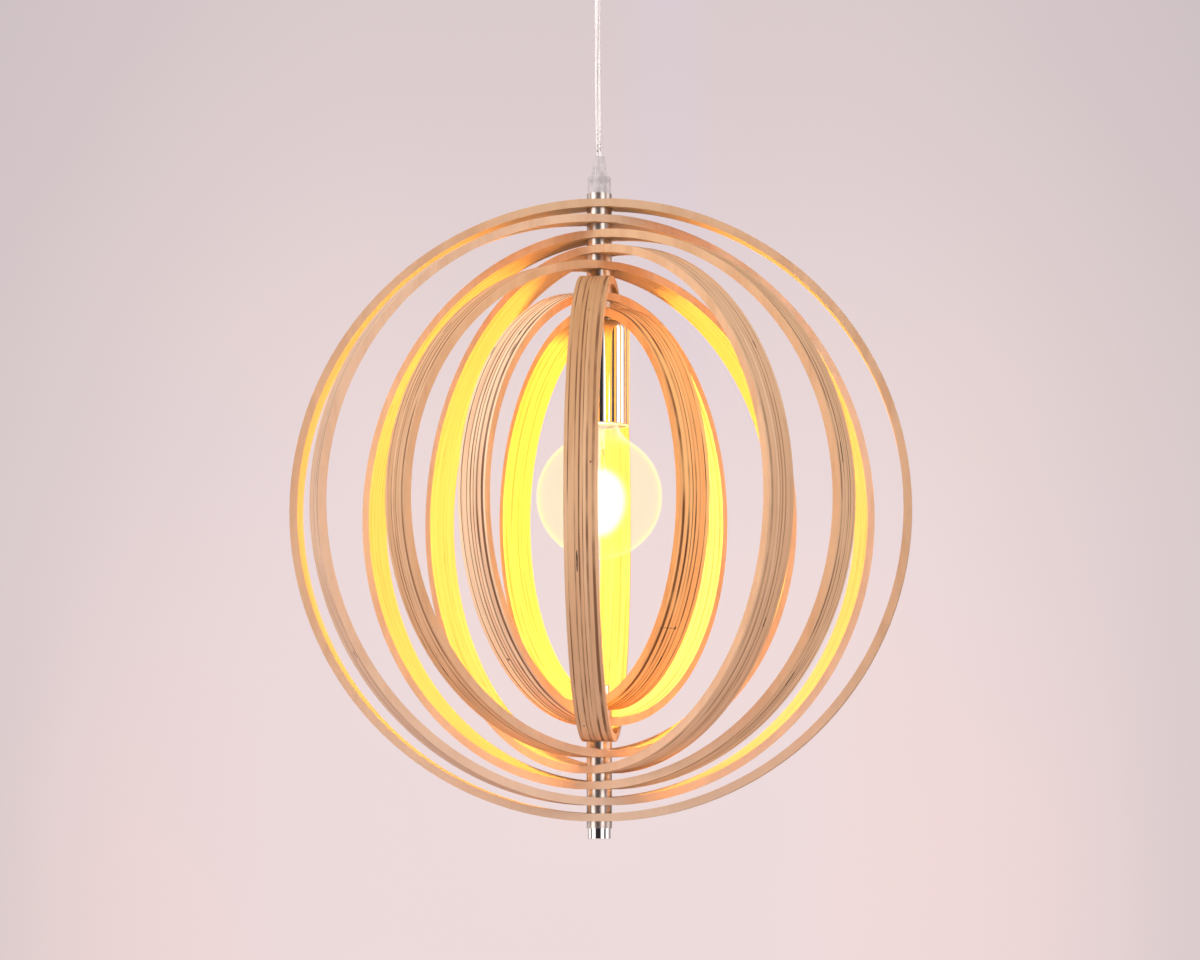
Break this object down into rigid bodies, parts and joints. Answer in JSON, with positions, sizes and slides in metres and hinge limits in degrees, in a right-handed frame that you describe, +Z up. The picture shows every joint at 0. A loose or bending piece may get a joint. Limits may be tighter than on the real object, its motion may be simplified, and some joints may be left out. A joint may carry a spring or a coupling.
{
  "type": "pendant lamp",
  "caption": "Orb pendant lamp of concentric plywood rings that turn freely about one upright axis around a clear globe bulb, hung by a clear cable from a ceiling canopy",
  "frame": {"origin": "the middle of the crossbar's top face, which lies flat against the ceiling, on the lamp's upright axis", "axes": "+Z up out of the ceiling face, -Z down along the cable and the rings' axis; -Y is the front that the picture shows; +X to the viewer's right"},
  "size_m": [0.47, 0.3518, 0.7202],
  "materials": {
    "plywood": "birch plywood, bare, sanded faces and sawn ply edges",
    "bright_metal": "mirror chrome",
    "canopy_metal": "mirror chrome",
    "zinc_steel": "zinc-plated steel",
    "clear_plastic": "clear moulded plastic, slightly milky",
    "cable_sheath": "clear flexible sheath over pale cores",
    "lead_insulation": "flexible insulation",
    "block_plastic": "natural moulded plastic",
    "socket_plastic": "black moulded thermoset",
    "brass": "bare brass",
    "bulb_glass": "clear glass",
    "cap_metal": "rolled metal cap",
    "cap_glass": "dark glass insulator",
    "solder": "solder",
    "bulb_wire": "fine drawn wire",
    "filament": "lit filament"
  },
  "bodies": {
    "hanger": {"bottom_collar": "bright_metal", "bottom_spacer_1": "bright_metal", "bottom_spacer_2": "bright_metal", "bottom_spacer_3": "bright_metal", "bottom_spacer_4": "bright_metal", "bottom_spacer_5": "bright_metal", "bottom_spacer_6": "bright_metal", "bottom_spacer_7": "bright_metal", "bulb_cap": "cap_metal", "bulb_filament": "filament", "bulb_globe": "bulb_glass", "bulb_insulator": "cap_glass", "bulb_lead_wires": "bulb_wire", "bulb_mount": "bulb_glass", "bulb_supports": "bulb_wire", "bulb_tip": "solder", "cable": "cable_sheath", "cable_in_canopy": "cable_sheath", "cable_in_lamp": "cable_sheath", "canopy": "canopy_metal", "canopy_grip_body": "clear_plastic", "canopy_grip_cap": "clear_plastic", "canopy_grip_collet": "clear_plastic", "canopy_grip_nut": "zinc_steel", "canopy_leads": "lead_insulation", "canopy_thumbscrews": "bright_metal", "centre_contact": "brass", "crossbar": "zinc_steel", "holder_nut": "bright_metal", "inner_cap_nut": "bright_metal", "lamp_grip_body": "clear_plastic", "lamp_grip_cap": "clear_plastic", "lamp_grip_collet": "clear_plastic", "lampholder_cup": "bright_metal", "lower_cap_nut": "bright_metal", "screw_shell": "brass", "socket_body": "socket_plastic", "socket_cap": "socket_plastic", "socket_leads": "lead_insulation", "spindle": "zinc_steel", "stem": "zinc_steel", "terminal_block": "block_plastic", "terminal_clamps": "brass", "terminal_screws": "zinc_steel", "top_collar": "bright_metal", "top_spacer_1": "bright_metal", "top_spacer_2": "bright_metal", "top_spacer_3": "bright_metal", "top_spacer_4": "bright_metal", "top_spacer_5": "bright_metal", "top_spacer_6": "bright_metal", "top_spacer_7": "bright_metal"},
    "ring_1": {"ring_1": "plywood"},
    "ring_2": {"ring_2": "plywood"},
    "ring_3": {"ring_3": "plywood"},
    "ring_4": {"ring_4": "plywood"},
    "ring_5": {"ring_5": "plywood"},
    "ring_6": {"ring_6": "plywood"},
    "ring_7": {"ring_7": "plywood"},
    "ring_8": {"ring_8": "plywood"}
  },
  "joints": [
    {"name": "ring_1_turn", "type": "hinge", "parent": "hanger", "child": "ring_1", "pos_m": [0, 0, -0.4722], "axis": [0, 0, 1], "continuous": true},
    {"name": "ring_2_turn", "type": "hinge", "parent": "hanger", "child": "ring_2", "pos_m": [0, 0, -0.4722], "axis": [0, 0, 1], "continuous": true},
    {"name": "ring_3_turn", "type": "hinge", "parent": "hanger", "child": "ring_3", "pos_m": [0, 0, -0.4722], "axis": [0, 0, 1], "continuous": true},
    {"name": "ring_4_turn", "type": "hinge", "parent": "hanger", "child": "ring_4", "pos_m": [0, 0, -0.4722], "axis": [0, 0, 1], "continuous": true},
    {"name": "ring_5_turn", "type": "hinge", "parent": "hanger", "child": "ring_5", "pos_m": [0, 0, -0.4722], "axis": [0, 0, 1], "continuous": true},
    {"name": "ring_6_turn", "type": "hinge", "parent": "hanger", "child": "ring_6", "pos_m": [0, 0, -0.4722], "axis": [0, 0, 1], "continuous": true},
    {"name": "ring_7_turn", "type": "hinge", "parent": "hanger", "child": "ring_7", "pos_m": [0, 0, -0.4722], "axis": [0, 0, 1], "continuous": true},
    {"name": "ring_8_turn", "type": "hinge", "parent": "hanger", "child": "ring_8", "pos_m": [0, 0, -0.4722], "axis": [0, 0, 1], "continuous": true}
  ]
}
